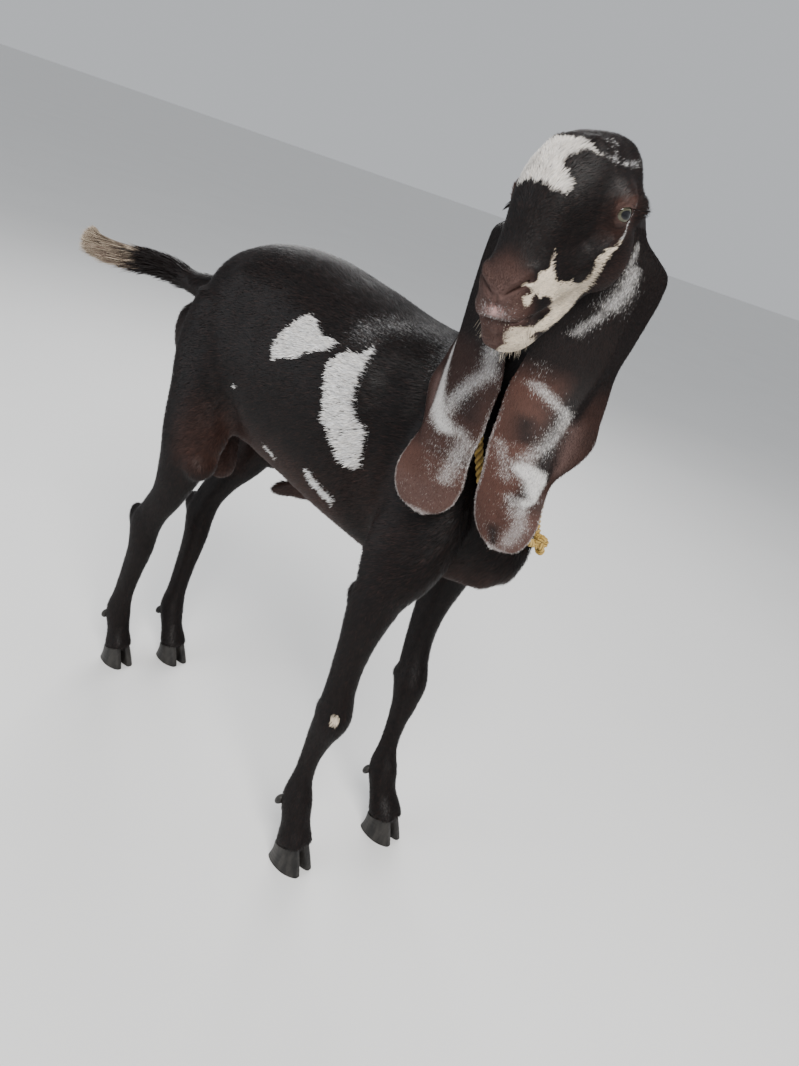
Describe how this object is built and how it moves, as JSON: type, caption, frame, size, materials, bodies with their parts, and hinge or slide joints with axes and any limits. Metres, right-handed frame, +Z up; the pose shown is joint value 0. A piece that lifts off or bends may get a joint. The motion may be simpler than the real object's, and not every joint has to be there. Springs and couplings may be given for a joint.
{
  "type": "beetal goat",
  "caption": "Young male beetal goat standing with neck raised, face turned aside, long folded hanging ears, raised tail and a rope collar.",
  "frame": {"origin": "middle of the bounding box at floor level", "axes": "+Z up, the animal faces -Y, its left side is +X"},
  "size_m": [0.3919, 0.9831, 1.0839],
  "materials": {
    "claw_foreleg_left_a": "horn, satin",
    "claw_foreleg_left_b": "horn, satin",
    "claw_foreleg_right_a": "horn, satin",
    "claw_foreleg_right_b": "horn, satin",
    "claw_hindleg_left_a": "horn, satin",
    "claw_hindleg_left_b": "horn, satin",
    "claw_hindleg_right_a": "horn, satin",
    "claw_hindleg_right_b": "horn, satin",
    "collar": "matt twisted fibre",
    "dewclaw_foreleg_left_a": "horn, satin",
    "dewclaw_foreleg_left_b": "horn, satin",
    "dewclaw_foreleg_right_a": "horn, satin",
    "dewclaw_foreleg_right_b": "horn, satin",
    "dewclaw_hindleg_left_a": "horn, satin",
    "dewclaw_hindleg_left_b": "horn, satin",
    "dewclaw_hindleg_right_a": "horn, satin",
    "dewclaw_hindleg_right_b": "horn, satin",
    "ear_left": "short haired skin, matt",
    "ear_right": "short haired skin, matt",
    "eye_left": "glossy",
    "eye_right": "glossy",
    "foreleg_left": "short glossy hair",
    "foreleg_right": "short glossy hair",
    "head": "short glossy hair",
    "hindleg_left": "short glossy hair",
    "hindleg_right": "short glossy hair",
    "neck": "short glossy hair",
    "scrotum": "short glossy hair",
    "tail": "short glossy hair",
    "torso": "short glossy hair"
  },
  "bodies": {
    "root": {"claw_foreleg_left_a": "claw_foreleg_left_a", "claw_foreleg_left_b": "claw_foreleg_left_b", "claw_foreleg_right_a": "claw_foreleg_right_a", "claw_foreleg_right_b": "claw_foreleg_right_b", "claw_hindleg_left_a": "claw_hindleg_left_a", "claw_hindleg_left_b": "claw_hindleg_left_b", "claw_hindleg_right_a": "claw_hindleg_right_a", "claw_hindleg_right_b": "claw_hindleg_right_b", "collar": "collar", "dewclaw_foreleg_left_a": "dewclaw_foreleg_left_a", "dewclaw_foreleg_left_b": "dewclaw_foreleg_left_b", "dewclaw_foreleg_right_a": "dewclaw_foreleg_right_a", "dewclaw_foreleg_right_b": "dewclaw_foreleg_right_b", "dewclaw_hindleg_left_a": "dewclaw_hindleg_left_a", "dewclaw_hindleg_left_b": "dewclaw_hindleg_left_b", "dewclaw_hindleg_right_a": "dewclaw_hindleg_right_a", "dewclaw_hindleg_right_b": "dewclaw_hindleg_right_b", "ear_left": "ear_left", "ear_right": "ear_right", "eye_left": "eye_left", "eye_right": "eye_right", "foreleg_left": "foreleg_left", "foreleg_right": "foreleg_right", "head": "head", "hindleg_left": "hindleg_left", "hindleg_right": "hindleg_right", "neck": "neck", "scrotum": "scrotum", "tail": "tail", "torso": "torso"}
  },
  "joints": []
}
